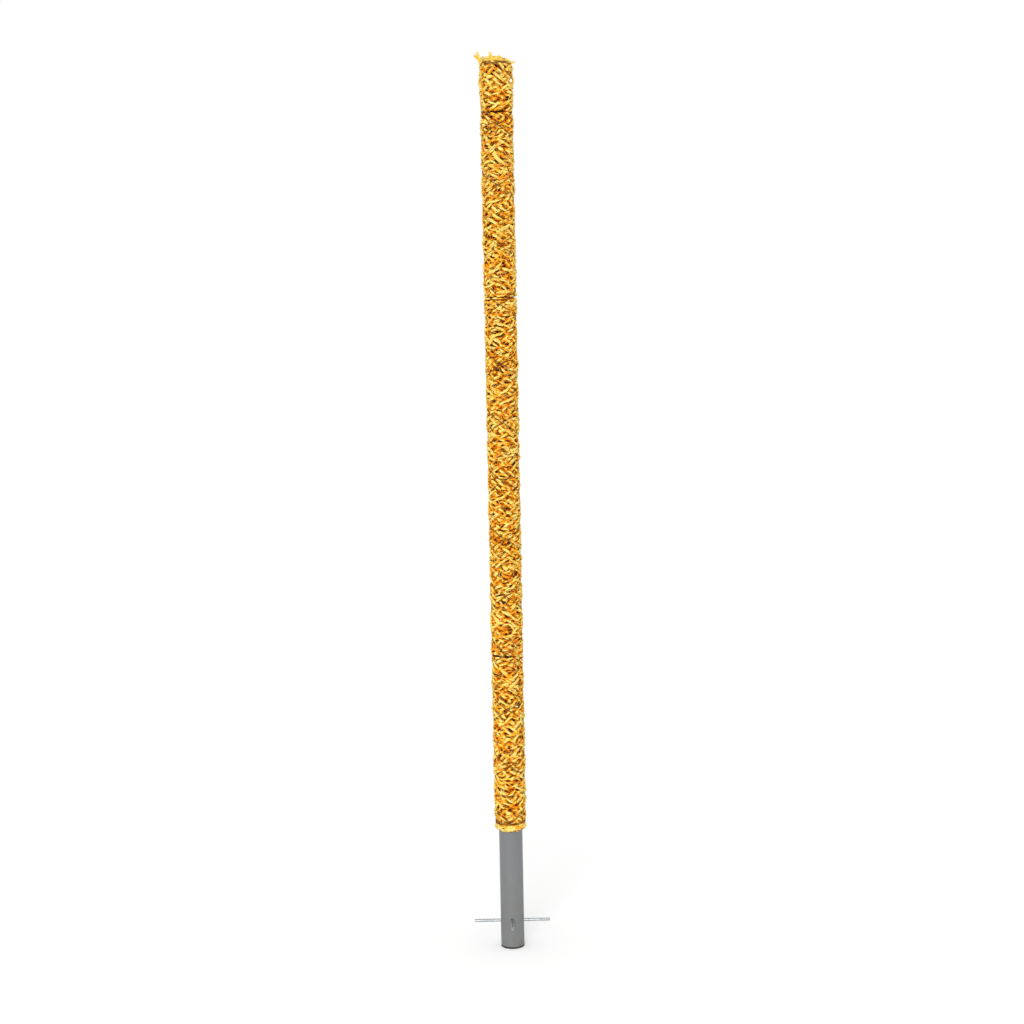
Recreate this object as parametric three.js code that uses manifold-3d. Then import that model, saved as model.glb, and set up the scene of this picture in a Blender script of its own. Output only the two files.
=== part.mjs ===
// Moss pole: a plastic core tube wrapped in coir mats, which two crossing twines bind and tie off.
// Millimetres, +Z up. The origin is the centre of the foot's underside, and -Y is the front.

import * as THREE from 'three';
import { mergeVertices } from 'three/addons/utils/BufferGeometryUtils.js';
import Module from 'manifold-3d';

// Driving dimensions: the pole
const POLE_LENGTH = 1500; // from the foot's underside to the rim of the coir
const BARE_FOOT = 210; // length under the coir, which is buried in use
const FIT = 0.3; // clearance between pieces that touch

// Driving dimensions: core tube and its end plugs
const TUBE_DIAMETER = 40;
const TUBE_WALL = 2;
const BUNG_FLANGE = 3; // thickness of a plug's flange
const BUNG_SPIGOT = 22; // how far a plug reaches into the tube
const BUNG_WALL = 2;
const BUNG_RIB_HEIGHT = 0.4; // of the rings that grip the bore
const BUNG_RIB_COUNT = 2;
const BUNG_LEAD_IN = 1.2; // chamfer on the end of the spigot

// Driving dimensions: anchor rods through the foot
const ROD_DIAMETER = 5;
const ROD_LENGTH = 130;
const ROD_CHAMFER = 0.8;
const ROD_ABOVE_PLUG = 20; // from the plug's inner end to the lower rod's axis
const ROD_SPACING = 1; // clear height between the two rods

// Driving dimensions: coir
const PRESSED_COIR = 3.7; // thickness of the coir under the twine
const COIR_SWELL = 3.5; // how much thicker it is between the twines
const MAT_HEIGHT = 300; // width of the roll that the mats are cut from
const LEAST_OFFCUT = 15; // a strip lower than this isn't cut: the mat below it is left taller
const SEAM_GAP = 1; // between the two edges of a wrapped mat
const WAD_SIDE = 8; // straight height of the wad in the rim
const WAD_DOME = 14; // height of its domed top
const RIM_ROUNDING = 2.5;
const JOINT_REACH = 5; // height over which a mat thins out towards the next one

// Driving dimensions: binding twine
const TWINE_DIAMETER = 1.6;
const BINDING_TURNS = 13; // turns of each twine between the two ties
const TIE_TURNS = 2.5;
const TIE_GAP = 0.6; // between the close turns of a tie
const TIE_BELOW_RIM = 14;
const TIE_ABOVE_EDGE = 14;
const NECK_REACH = 9; // height over which the coir swells out again beside a tie

// Fineness of the facets
const STEPS_PER_TURN = 20; // columns round the coir and steps of a twine, so that both share their corners
const TWINE_SIDES = 5;
const ROUND_SIDES = 32;
const DOME_STEPS = 5;
const LEAST_COIR_STEP = 0.05; // rows of the coir closer than this to an edge or a tie are left out

// Worked out from the above
const FULL_TURN = 2 * Math.PI;
const TUBE_RADIUS = TUBE_DIAMETER / 2;
const BORE_RADIUS = TUBE_RADIUS - TUBE_WALL;
const WAD_SHOULDER = POLE_LENGTH - WAD_DOME;
const WAD_BASE = WAD_SHOULDER - WAD_SIDE;
const TUBE_TOP = WAD_BASE - FIT - BUNG_FLANGE;
const ROD_HOLE_RADIUS = (ROD_DIAMETER / 2 + FIT) / Math.cos(Math.PI / ROUND_SIDES);
const LOWER_ROD_Z = BUNG_FLANGE + BUNG_SPIGOT + ROD_ABOVE_PLUG;
const UPPER_ROD_Z = LOWER_ROD_Z + ROD_DIAMETER + ROD_SPACING;
const COIR_INNER_RADIUS = (TUBE_RADIUS + FIT) / Math.cos(Math.PI / STEPS_PER_TURN);
const PRESSED_RADIUS = TUBE_RADIUS + FIT + PRESSED_COIR;
const COIR_RADIUS = PRESSED_RADIUS + COIR_SWELL;
const TWINE_RADIUS = TWINE_DIAMETER / 2;
const TWINE_PATH_RADIUS = PRESSED_RADIUS + FIT + TWINE_RADIUS;
const CROSSING_LIFT = TWINE_DIAMETER + FIT;
const TOP_TIE_Z = POLE_LENGTH - TIE_BELOW_RIM; // where the top tie begins, going up
const BOTTOM_TIE_Z = BARE_FOOT + TIE_ABOVE_EDGE; // where the bottom tie begins, going down
const TIE_STEP = TWINE_DIAMETER + TIE_GAP;
const TIE_HEIGHT = TIE_TURNS * TIE_STEP;
const BINDING_PITCH = (TOP_TIE_Z - BOTTOM_TIE_Z) / BINDING_TURNS;

// Heights at which one mat ends and the next begins
const MAT_JOINTS = [];
for (let z = BARE_FOOT + MAT_HEIGHT; z + LEAST_OFFCUT < POLE_LENGTH; z += MAT_HEIGHT) {
  MAT_JOINTS.push(z);
}

const wasm = await Module();
wasm.setup();

// The point at an angle from the front, counted towards +X, at a distance from the pole's axis.
function around(angle, radius, z) {
  return new THREE.Vector3(radius * Math.sin(angle), -radius * Math.cos(angle), z);
}

// A closed geometry as a solid for cutting.
function solidOf(geometry) {
  const bare = geometry.clone();
  bare.deleteAttribute('normal');
  bare.deleteAttribute('uv');
  const merged = mergeVertices(bare, 1e-4);
  const vertProperties = new Float32Array(merged.attributes.position.array);
  const triVerts = new Uint32Array(merged.index.array);
  return new wasm.Manifold(new wasm.Mesh({ numProp: 3, vertProperties, triVerts }));
}

// A cut solid as a geometry again.
function geometryOf(solid) {
  const mesh = solid.getMesh();
  const geometry = new THREE.BufferGeometry();
  geometry.setAttribute('position', new THREE.BufferAttribute(new Float32Array(mesh.vertProperties), 3));
  geometry.setIndex(new THREE.BufferAttribute(new Uint32Array(mesh.triVerts), 1));
  geometry.computeVertexNormals();
  return geometry;
}

// A solid of revolution about Z from a profile of [radius, z] points.
function turned(profile, sides = ROUND_SIDES) {
  const points = profile.map(([radius, z]) => new THREE.Vector2(radius, z));
  return new THREE.LatheGeometry(points, sides).rotateX(Math.PI / 2);
}

// A closed skin from a list of triangles, each three points.
function skinOf(triangles) {
  const geometry = new THREE.BufferGeometry().setFromPoints(triangles.flat());
  const merged = mergeVertices(geometry, 1e-4);
  merged.computeVertexNormals();
  return merged;
}

// The triangles between two columns of points that climb, for a face seen with the second one on the right.
// Each triangle takes the column whose next stretch lies lower.
function zipped(left, right) {
  const stretch = (points, i) => (i < points.length - 1 ? points[i].z + points[i + 1].z : Infinity);
  const triangles = [];
  let i = 0;
  let j = 0;
  while (i < left.length - 1 || j < right.length - 1) {
    if (stretch(left, i) <= stretch(right, j)) {
      triangles.push([left[i], right[j], left[i + 1]]);
      i += 1;
    } else {
      triangles.push([left[i], right[j], right[j + 1]]);
      j += 1;
    }
  }
  return triangles;
}

// The two triangles of a four-sided face.
function quad(a, b, c, d) {
  return [[a, b, c], [a, c, d]];
}

// The core tube, with a pair of holes through its foot for each anchor rod.
function coreTube() {
  const profile = [
    [BORE_RADIUS, BUNG_FLANGE],
    [TUBE_RADIUS, BUNG_FLANGE],
    [TUBE_RADIUS, TUBE_TOP],
    [BORE_RADIUS, TUBE_TOP],
    [BORE_RADIUS, BUNG_FLANGE],
  ];
  const drill = () => new THREE.CylinderGeometry(ROD_HOLE_RADIUS, ROD_HOLE_RADIUS, ROD_LENGTH, ROUND_SIDES);
  const lowerHole = drill().rotateZ(Math.PI / 2).translate(0, 0, LOWER_ROD_Z);
  const upperHole = drill().translate(0, 0, UPPER_ROD_Z);
  const tube = solidOf(turned(profile));
  return geometryOf(tube.subtract(solidOf(lowerHole)).subtract(solidOf(upperHole)));
}

// An end plug standing on its flange: a hollow spigot with grip ribs and a chamfered end.
function endPlug() {
  const ribRadius = BORE_RADIUS - FIT;
  const spigotRadius = ribRadius - BUNG_RIB_HEIGHT;
  const spigotEnd = BUNG_FLANGE + BUNG_SPIGOT;
  const ribPitch = (BUNG_SPIGOT - BUNG_LEAD_IN) / (BUNG_RIB_COUNT + 1);
  const profile = [
    [0, 0],
    [TUBE_RADIUS, 0],
    [TUBE_RADIUS, BUNG_FLANGE],
    [spigotRadius, BUNG_FLANGE],
  ];
  for (let rib = 1; rib <= BUNG_RIB_COUNT; rib += 1) {
    const ribZ = BUNG_FLANGE + rib * ribPitch;
    profile.push([spigotRadius, ribZ - BUNG_RIB_HEIGHT]);
    profile.push([ribRadius, ribZ]);
    profile.push([spigotRadius, ribZ + BUNG_RIB_HEIGHT]);
  }
  profile.push([spigotRadius, spigotEnd - BUNG_LEAD_IN]);
  profile.push([spigotRadius - BUNG_LEAD_IN / 2, spigotEnd]);
  profile.push([spigotRadius - BUNG_WALL, spigotEnd]);
  profile.push([spigotRadius - BUNG_WALL, BUNG_FLANGE]);
  profile.push([0, BUNG_FLANGE]);
  return turned(profile);
}

// An anchor rod along Z, centred, with a chamfer at both ends.
function anchorRod() {
  const radius = ROD_DIAMETER / 2;
  const half = ROD_LENGTH / 2;
  return turned([
    [0, -half],
    [radius - ROD_CHAMFER, -half],
    [radius, -half + ROD_CHAMFER],
    [radius, half - ROD_CHAMFER],
    [radius - ROD_CHAMFER, half],
    [0, half],
  ], STEPS_PER_TURN);
}

// How far a tie draws the coir in at a height: 1 under its turns, falling to 0 beside them.
function neckShare(z) {
  const overTop = Math.max(TOP_TIE_Z - z, z - TOP_TIE_Z - TIE_HEIGHT, 0);
  const overBottom = Math.max(z - BOTTOM_TIE_Z, BOTTOM_TIE_Z - TIE_HEIGHT - z, 0);
  return Math.max(0, 1 - Math.min(overTop, overBottom) / NECK_REACH);
}

// How far the coir is thinned at a height where two mats meet: 1 at their edges, falling to 0 beside them.
function jointShare(z) {
  const shares = MAT_JOINTS.map((joint) => 1 - (Math.abs(z - joint) - FIT) / JOINT_REACH);
  return THREE.MathUtils.clamp(Math.max(0, ...shares), 0, 1);
}

// How far the crossing twines draw the coir in: 1 on a twine's line, 0 in the middle of a diamond.
function creaseShare(angle, z) {
  if (z > TOP_TIE_Z || z < BOTTOM_TIE_Z) return 0;
  const turnsDown = (TOP_TIE_Z - z) / BINDING_PITCH;
  const turnsRound = angle / FULL_TURN;
  const offRightTwine = Math.sin(Math.PI * (turnsDown + turnsRound));
  const offLeftTwine = Math.sin(Math.PI * (turnsDown - turnsRound));
  return 1 - Math.sqrt(Math.abs(offRightTwine * offLeftTwine));
}

// The radius of the quilted coir, drawn in by the twines and rounded at the rim and at the lower edge.
function coirRadius(angle, z) {
  const fromEdge = Math.min(POLE_LENGTH - z, z - BARE_FOOT, RIM_ROUNDING);
  const rounding = RIM_ROUNDING - fromEdge;
  const drawnIn = Math.max(neckShare(z), jointShare(z), creaseShare(angle, z));
  return COIR_RADIUS - rounding - COIR_SWELL * drawnIn;
}

// The heights of a mat's corners in one column: its edges and ties, and rows that follow both twines' lines.
function columnHeights(column, low, high) {
  const marks = [low, high];
  const ties = [TOP_TIE_Z, TOP_TIE_Z + TIE_HEIGHT, BOTTOM_TIE_Z, BOTTOM_TIE_Z - TIE_HEIGHT];
  const roundings = [POLE_LENGTH - RIM_ROUNDING, BARE_FOOT + RIM_ROUNDING];
  for (const z of [...ties, ...roundings]) {
    if (z > low && z < high) marks.push(z);
  }
  const rowsPerTurn = STEPS_PER_TURN / 2;
  const offset = Math.abs(column % 2) / 2;
  const heights = [...marks];
  for (let row = 0; row <= BINDING_TURNS * rowsPerTurn; row += 1) {
    const z = TOP_TIE_Z - (BINDING_PITCH * (row + offset)) / rowsPerTurn;
    const inside = z > low && z < high && z > BOTTOM_TIE_Z;
    const clear = marks.every((mark) => Math.abs(mark - z) > LEAST_COIR_STEP);
    if (inside && clear) heights.push(z);
  }
  return heights.sort((a, b) => a - b);
}

// A coir mat between two heights, wrapped round the tube with its butt seam at the back.
function coirMat(low, high) {
  const half = STEPS_PER_TURN / 2;
  const seamAngle = Math.PI - SEAM_GAP / 2 / COIR_RADIUS;
  const outer = [];
  const inner = [];
  for (let column = -half; column <= half; column += 1) {
    const angle = THREE.MathUtils.clamp((column * FULL_TURN) / STEPS_PER_TURN, -seamAngle, seamAngle);
    const heights = columnHeights(column, low, high);
    const innerHeights = Math.abs(column) === half ? heights : [low, high];
    outer.push(heights.map((z) => around(angle, coirRadius(angle, z), z)));
    inner.push(innerHeights.map((z) => around(angle, COIR_INNER_RADIUS, z)));
  }
  const triangles = [...zipped(inner[0], outer[0]), ...zipped(outer.at(-1), inner.at(-1))];
  for (let column = 0; column < outer.length - 1; column += 1) {
    const [here, next] = [outer[column], outer[column + 1]];
    const [hereInner, nextInner] = [inner[column], inner[column + 1]];
    triangles.push(...zipped(here, next));
    triangles.push(...zipped(nextInner, hereInner));
    triangles.push(...quad(here.at(-1), next.at(-1), nextInner.at(-1), hereInner.at(-1)));
    triangles.push(...quad(next[0], here[0], hereInner[0], nextInner[0]));
  }
  return skinOf(triangles);
}

// The wad of coir that closes the rim, domed on top.
function coirTopWad() {
  const dome = new THREE.EllipseCurve(0, WAD_SHOULDER, TUBE_RADIUS, WAD_DOME, 0, Math.PI / 2);
  const flank = dome.getPoints(DOME_STEPS).slice(0, -1).map((point) => [point.x, point.y]);
  return turned([[0, WAD_BASE], [TUBE_RADIUS, WAD_BASE], ...flank, [0, POLE_LENGTH]]);
}

// A twine's path: its close turns at one end and its open turns along the pole. The hand is 1 for a helix
// that climbs to the right in front and -1 for one that climbs to the left. Each step is one column of coir.
function twinePath(hand, tiedAtTop) {
  const openSteps = Math.round(BINDING_TURNS * STEPS_PER_TURN);
  const tieSteps = Math.round(TIE_TURNS * STEPS_PER_TURN);
  const first = tiedAtTop ? -tieSteps : 1;
  const last = tiedAtTop ? openSteps - 1 : openSteps + tieSteps;
  const path = [];
  for (let step = first; step <= last; step += 1) {
    const turns = step / STEPS_PER_TURN;
    const open = THREE.MathUtils.clamp(turns, 0, BINDING_TURNS);
    const z = TOP_TIE_Z - open * BINDING_PITCH - (turns - open) * TIE_STEP;
    const crosses = step > 0 && step < openSteps && step % (STEPS_PER_TURN / 2) === 0;
    const radius = TWINE_PATH_RADIUS + (tiedAtTop && crosses ? CROSSING_LIFT : 0);
    path.push(around(-hand * turns * FULL_TURN, radius, z));
  }
  return path;
}

// A twine along its path: a ring of corners at every step, square to the run, and a flat cap at both ends.
function twine(path) {
  const rings = path.map((point, i) => {
    const before = path[Math.max(i - 1, 0)];
    const after = path[Math.min(i + 1, path.length - 1)];
    const along = after.clone().sub(before).normalize();
    const out = new THREE.Vector3(point.x, point.y, 0);
    out.addScaledVector(along, -out.dot(along)).normalize();
    const side = new THREE.Vector3().crossVectors(along, out);
    return Array.from({ length: TWINE_SIDES }, (_, corner) => {
      const turn = Math.PI + (corner * FULL_TURN) / TWINE_SIDES;
      const offset = out.clone().multiplyScalar(TWINE_RADIUS * Math.cos(turn));
      return point.clone().add(offset).addScaledVector(side, TWINE_RADIUS * Math.sin(turn));
    });
  });
  const triangles = [];
  for (let corner = 0; corner < TWINE_SIDES; corner += 1) {
    const next = (corner + 1) % TWINE_SIDES;
    for (let i = 0; i < rings.length - 1; i += 1) {
      triangles.push(...quad(rings[i][corner], rings[i][next], rings[i + 1][next], rings[i + 1][corner]));
    }
    triangles.push([path[0], rings[0][next], rings[0][corner]]);
    triangles.push([path.at(-1), rings.at(-1)[corner], rings.at(-1)[next]]);
  }
  return skinOf(triangles);
}

// The least clear gap between two turns of one twine, measured between points at least half a turn apart.
function leastGap(path) {
  let least = Infinity;
  for (let i = 0; i < path.length; i += 1) {
    for (let j = i + STEPS_PER_TURN / 2; j < path.length; j += 1) {
      least = Math.min(least, path[i].distanceTo(path[j]) - TWINE_DIAMETER);
    }
  }
  return least;
}

const FINISHES = {
  coir: { color: 0xdc9f3f, roughness: 0.95, metalness: 0 },
  twine: { color: 0xc08a3e, roughness: 0.9, metalness: 0 },
  tube: { color: 0x6b6e70, roughness: 0.5, metalness: 0 },
  plug: { color: 0x1f2022, roughness: 0.6, metalness: 0 },
  steel: { color: 0xb4b8ba, roughness: 0.4, metalness: 1 },
};

const pole = new THREE.Group();

// One named piece of the pole, with its own material.
function addPiece(name, geometry, finish) {
  const piece = new THREE.Mesh(geometry, new THREE.MeshStandardMaterial(FINISHES[finish]));
  piece.name = name;
  pole.add(piece);
  return piece;
}

addPiece('core_tube', coreTube(), 'tube');
addPiece('foot_bung', endPlug(), 'plug');
const topBung = addPiece('top_bung', endPlug(), 'plug');
topBung.rotation.x = Math.PI;
topBung.position.z = TUBE_TOP + BUNG_FLANGE;

const lowerRod = addPiece('anchor_rod_lower', anchorRod(), 'steel');
lowerRod.rotation.y = Math.PI / 2;
lowerRod.position.z = LOWER_ROD_Z;
const upperRod = addPiece('anchor_rod_upper', anchorRod(), 'steel');
upperRod.rotation.x = Math.PI / 2;
upperRod.position.z = UPPER_ROD_Z;

const matLows = [BARE_FOOT, ...MAT_JOINTS];
const matHighs = [...MAT_JOINTS.map((joint) => joint - FIT), POLE_LENGTH];
matLows.forEach((low, i) => addPiece(`coir_mat_${i + 1}`, coirMat(low, matHighs[i]), 'coir'));
addPiece('coir_top_wad', coirTopWad(), 'coir');

const bindings = {
  binding_twine_right: twinePath(1, false),
  binding_twine_left: twinePath(-1, true),
};
for (const [name, path] of Object.entries(bindings)) {
  addPiece(name, twine(path), 'twine');
  console.log(`${name}: least gap to itself ${leastGap(path).toFixed(2)} mm`);
}

export default pole;
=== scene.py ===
"""Looks of a coir moss pole, made round its packed construction model.

The pole is a plastic tube on a plugged foot, wrapped in coir mats. Two twines cross each other all
the way up and are tied off at the top and at the bottom. Everything is in metres with +Z up. The
front of the pole faces -Y, and angles round it count from the front towards +X.
"""

from __future__ import annotations

import logging
import math
from dataclasses import asdict, dataclass, fields, replace
from enum import Enum, IntEnum
from typing import Any, Callable, Iterable, Mapping, Sequence, Union

import bmesh
import bpy
import numpy as np
from bpy.types import Camera, Light, Material, Mesh, Node, NodeSocket, NodeTree, Object, World
from mathutils import Matrix, Vector, noise


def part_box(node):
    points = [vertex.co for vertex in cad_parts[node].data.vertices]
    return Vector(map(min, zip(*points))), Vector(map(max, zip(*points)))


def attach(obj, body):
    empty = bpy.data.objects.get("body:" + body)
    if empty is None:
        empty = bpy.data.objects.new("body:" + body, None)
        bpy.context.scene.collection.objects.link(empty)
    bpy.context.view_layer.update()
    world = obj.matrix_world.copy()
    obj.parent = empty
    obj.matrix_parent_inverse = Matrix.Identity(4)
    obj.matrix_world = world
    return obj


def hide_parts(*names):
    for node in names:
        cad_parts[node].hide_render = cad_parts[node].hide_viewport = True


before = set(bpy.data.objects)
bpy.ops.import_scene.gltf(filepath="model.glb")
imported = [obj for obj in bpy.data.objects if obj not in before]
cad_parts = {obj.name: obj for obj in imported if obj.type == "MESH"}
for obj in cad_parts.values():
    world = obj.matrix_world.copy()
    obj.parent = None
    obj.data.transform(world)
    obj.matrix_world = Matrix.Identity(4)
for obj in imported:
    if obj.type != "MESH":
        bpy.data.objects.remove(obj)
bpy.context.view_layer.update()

LOG = logging.getLogger("moss_pole")
BODY = "root"
FIBRE_MAP = "OFBake"  # UV map of every fibre: tone across, place along the fibre up
TONE_STRIP = 0.04  # width that a fibre takes up on that map
FULL_TURN = 2 * math.pi
SHARP_OVER = math.radians(35)  # between two faces, past which their edge stays sharp
EVEN_STEPS = (0.7548776662, 0.5698402910)  # of a series that spreads points evenly over a square

Colour = tuple[float, float, float]
Point = tuple[float, float, float]
Span = tuple[float, float]
Number = Union["Field", np.ndarray, float]


def arithmetic(operation: str, turned: bool = False) -> Callable[[Field, Number], Field]:
    """Makes one of the operators between a field and another number.

    Args:
        operation: The Math node's operation.
        turned: Whether the other number comes first.

    Returns:
        The operator's method.
    """

    def method(field: Field, other: Number) -> Field:
        """Adds the operator's Math node."""
        pair = (other, field) if turned else (field, other)
        return field.graph.maths(operation, *pair)

    return method


class Field:
    """A number that flows through a node tree and takes part in plain arithmetic."""

    __add__ = __radd__ = arithmetic("ADD")
    __sub__ = arithmetic("SUBTRACT")
    __rsub__ = arithmetic("SUBTRACT", turned=True)
    __mul__ = __rmul__ = arithmetic("MULTIPLY")
    __truediv__ = arithmetic("DIVIDE")
    __rtruediv__ = arithmetic("DIVIDE", turned=True)
    __pow__ = arithmetic("POWER")

    def __init__(self, graph: Graph, socket: NodeSocket) -> None:
        """Wraps an output socket of a graph."""
        self.graph = graph
        self.socket = socket

    def __neg__(self) -> Field:
        """The opposite."""
        return self * -1.0


def function(operation: str, plain: Callable[..., Any]) -> Callable[..., Number]:
    """Makes a function that works on fields and on plain numbers alike.

    Args:
        operation: The Math node's operation, for fields.
        plain: The function for plain numbers.

    Returns:
        The function of one or two numbers, of which the first may be a field.
    """

    def apply(x: Number, *others: Number) -> Number:
        """Adds a Math node for a field, or works on plain numbers."""
        return x.graph.maths(operation, x, *others) if isinstance(x, Field) else plain(x, *others)

    return apply


# These take fields and plain numbers alike. amount drops the sign, and is_above gives 1 or 0.
sine = function("SINE", np.sin)
cosine = function("COSINE", np.cos)
root = function("SQRT", np.sqrt)
amount = function("ABSOLUTE", np.abs)
larger = function("MAXIMUM", np.maximum)
smaller = function("MINIMUM", np.minimum)
is_above = function("GREATER_THAN", np.greater)


class Graph:
    """A node tree in the making, for shaders and for geometry alike."""

    def __init__(self, tree: NodeTree) -> None:
        """Starts on a tree."""
        self.tree = tree

    def feed(self, socket: NodeSocket, value: Any) -> None:
        """Links a field or an output to an input, or sets the input to a plain value."""
        source = value.socket if isinstance(value, Field) else value
        if isinstance(source, NodeSocket):
            self.tree.links.new(source, socket)
        else:
            socket.default_value = source

    def node(self, kind: str, inputs: Mapping[Any, Any] | None = None, **settings: Any) -> Node:
        """Adds a node.

        Args:
            kind: The node's type name.
            inputs: Values for its inputs, by name or by number.
            settings: Values for its own properties.

        Returns:
            The new node.
        """
        made = self.tree.nodes.new(kind)
        for name, value in settings.items():
            setattr(made, name, value)
        for key, value in (inputs or {}).items():
            self.feed(made.inputs[key], value)
        return made

    def field(
        self, kind: str, output: Any = 0, inputs: Mapping[Any, Any] | None = None, **settings: Any
    ) -> Field:
        """Adds a node and returns one of its outputs as a field."""
        return Field(self, self.node(kind, inputs, **settings).outputs[output])

    def maths(self, operation: str, x: Number, y: Number = 0.0) -> Field:
        """Adds a Math node for one or two numbers."""
        return self.field("ShaderNodeMath", 0, {0: x, 1: y}, operation=operation)

    def vector(self, x: Number, y: Number, z: Number) -> Field:
        """Joins three numbers into a vector."""
        return self.field("ShaderNodeCombineXYZ", 0, {"X": x, "Y": y, "Z": z})

    def parts(self, vector: Field) -> tuple[Field, Field, Field]:
        """Splits a vector into its three numbers."""
        split = self.node("ShaderNodeSeparateXYZ", {"Vector": vector})
        return tuple(Field(self, output) for output in split.outputs)

    def noise(self, place: Field, scale: float, detail: float = 2.0, output: str = "Fac") -> Field:
        """Adds noise at a place: one number from 0 to 1, or three as its colour."""
        inputs = {"Vector": place, "Scale": scale, "Detail": detail}
        return self.field("ShaderNodeTexNoise", output, inputs)


class GeometryGraph(Graph):
    """A geometry node tree whose inputs are the fields of a dataclass, a seed and a material."""

    working_values: tuple[str, ...] = ("tone", "along", "around", "lock", "fibre", "ply")  # not kept

    def __init__(self, name: str, sizes: type, *lengths: str) -> None:
        """Makes the tree and its sockets.

        Args:
            name: The tree's name.
            sizes: A dataclass, each field of which becomes an input of the same name.
            lengths: The names of further inputs, each of them a length.
        """
        super().__init__(bpy.data.node_groups.new(name, "GeometryNodeTree"))
        sockets = {"Geometry": "NodeSocketGeometry"}
        for size in fields(sizes):
            sockets[size.name] = "NodeSocketInt" if size.type == "int" else "NodeSocketFloat"
        sockets.update(dict.fromkeys(lengths, "NodeSocketFloat"))
        sockets.update(seed="NodeSocketInt", material="NodeSocketMaterial")
        for label, kind in sockets.items():
            self.tree.interface.new_socket(name=label, in_out="INPUT", socket_type=kind)
        self.tree.interface.new_socket(name="Geometry", in_out="OUTPUT", socket_type="NodeSocketGeometry")
        self.entry = self.node("NodeGroupInput")

    def __getattr__(self, name: str) -> Field:
        """The group's input of that name."""
        if name.startswith("_") or name == "entry":
            raise AttributeError(name)
        return Field(self, self.entry.outputs[name])

    def store(self, geometry: Any, name: str, value: Any, domain: str, data_type: str = "FLOAT") -> Any:
        """Keeps a value on the geometry under a name, and returns the geometry."""
        inputs = {"Geometry": geometry, "Name": name, "Value": value}
        return self.field("GeometryNodeStoreNamedAttribute", 0, inputs, domain=domain, data_type=data_type)

    def stored(self, name: str, data_type: str = "FLOAT") -> Field:
        """A value that was kept under a name."""
        return self.field("GeometryNodeInputNamedAttribute", 0, {"Name": name}, data_type=data_type)

    def random(self, low: Number, high: Number, owner: Field, draw: Draw) -> Field:
        """A random number for each owner, from the tree's seed and the number of the draw."""
        inputs = {2: low, 3: high, "ID": owner, "Seed": self.seed + float(draw)}
        return self.field("FunctionNodeRandomValue", 1, inputs, data_type="FLOAT")

    def spread(self, most: Number, owner: Field, draw: Draw) -> Field:
        """A random number for each owner, up to so much either side of 0."""
        return self.random(-most, most, owner, draw)

    def tubes(self, curves: Field, sides: Number, radius: Number) -> Field:
        """Turns curves that hold tone and along into closed, smooth-shaded tubes with the fibre map.

        Args:
            curves: The curves, with the named values tone and along on their points.
            sides: How many sides a tube has.
            radius: The tube's radius along the curve.

        Returns:
            The geometry of the tubes.
        """
        circle = self.field("GeometryNodeCurvePrimitiveCircle", 0, {"Resolution": sides, "Radius": 1.0})
        around = self.field("GeometryNodeSplineParameter", "Factor")
        circle = self.store(circle, "around", around, "POINT")
        inputs = {"Curve": curves, "Profile Curve": circle, "Scale": radius, "Fill Caps": True}
        mesh = self.field("GeometryNodeCurveToMesh", 0, inputs)
        held = smaller(larger(self.stored("tone"), TONE_STRIP), 1.0 - TONE_STRIP)
        across = held + (self.stored("around") - 0.5) * TONE_STRIP
        spot = self.vector(across, self.stored("along"), 0.0)
        mesh = self.store(mesh, FIBRE_MAP, spot, "CORNER", "FLOAT2")
        for name in self.working_values:
            mesh = self.field("GeometryNodeRemoveAttribute", 0, {"Geometry": mesh, "Name": name})
        return self.field("GeometryNodeSetShadeSmooth", 0, {"Geometry": mesh, "Shade Smooth": True})

    def end(self, geometry: Field) -> NodeTree:
        """Makes copies real, sets the material and closes the tree."""
        whole = self.field("GeometryNodeRealizeInstances", 0, {"Geometry": geometry})
        dressed = self.field("GeometryNodeSetMaterial", 0, {"Geometry": whole, "Material": self.material})
        self.node("NodeGroupOutput", {"Geometry": dressed})
        return self.tree


def linked(name: str, data: Mesh | Camera | Light) -> Object:
    """Puts a mesh, a camera or a lamp in the scene as an object at the origin."""
    made = bpy.data.objects.new(name, data)
    bpy.context.scene.collection.objects.link(made)
    return made


def emptied(owner: Material | World) -> NodeTree:
    """Gives a material or a world an empty node tree."""
    owner.use_nodes = True
    owner.node_tree.nodes.clear()
    return owner.node_tree


def evaluated(piece: Object) -> Object:
    """Turns a piece with modifiers into one with a plain mesh.

    Args:
        piece: The piece, which is used up.

    Returns:
        A new object of the same name, with the modified mesh and no modifiers.
    """
    name = piece.name
    depsgraph = bpy.context.evaluated_depsgraph_get()
    mesh = bpy.data.meshes.new_from_object(piece.evaluated_get(depsgraph), depsgraph=depsgraph)
    bpy.data.objects.remove(piece)
    mesh.name = name
    return linked(name, mesh)


def grown(
    name: str, tree: NodeTree, inputs: Mapping[str, Any], base: Mesh
) -> Object:
    """Runs a geometry node tree on a mesh and keeps the result as a plain mesh.

    Args:
        name: The piece's name.
        tree: The geometry node tree.
        inputs: Values for the tree's inputs, by name.
        base: The mesh that the tree starts from.

    Returns:
        The finished object.
    """
    holder = linked(name, base)
    modifier = holder.modifiers.new("shape", "NODES")
    modifier.node_group = tree
    for item in tree.interface.items_tree:
        if item.in_out == "INPUT" and item.name in inputs:
            modifier[item.identifier] = inputs[item.name]
    return evaluated(holder)


def settled(piece: Object, slot: str, *nodes: str) -> Object:
    """Ties a finished piece to the construction model and reports it.

    Args:
        piece: The finished piece.
        slot: The name of the record's material slot; not used.
        nodes: The construction nodes that it stands for.

    Returns:
        The same piece.
    """
    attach(piece, BODY)
    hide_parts(*nodes)
    triangles = sum(len(face.vertices) - 2 for face in piece.data.polygons)
    LOG.info("%s: %d triangles, for %s", piece.name, triangles, ", ".join(nodes))
    return piece


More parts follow.
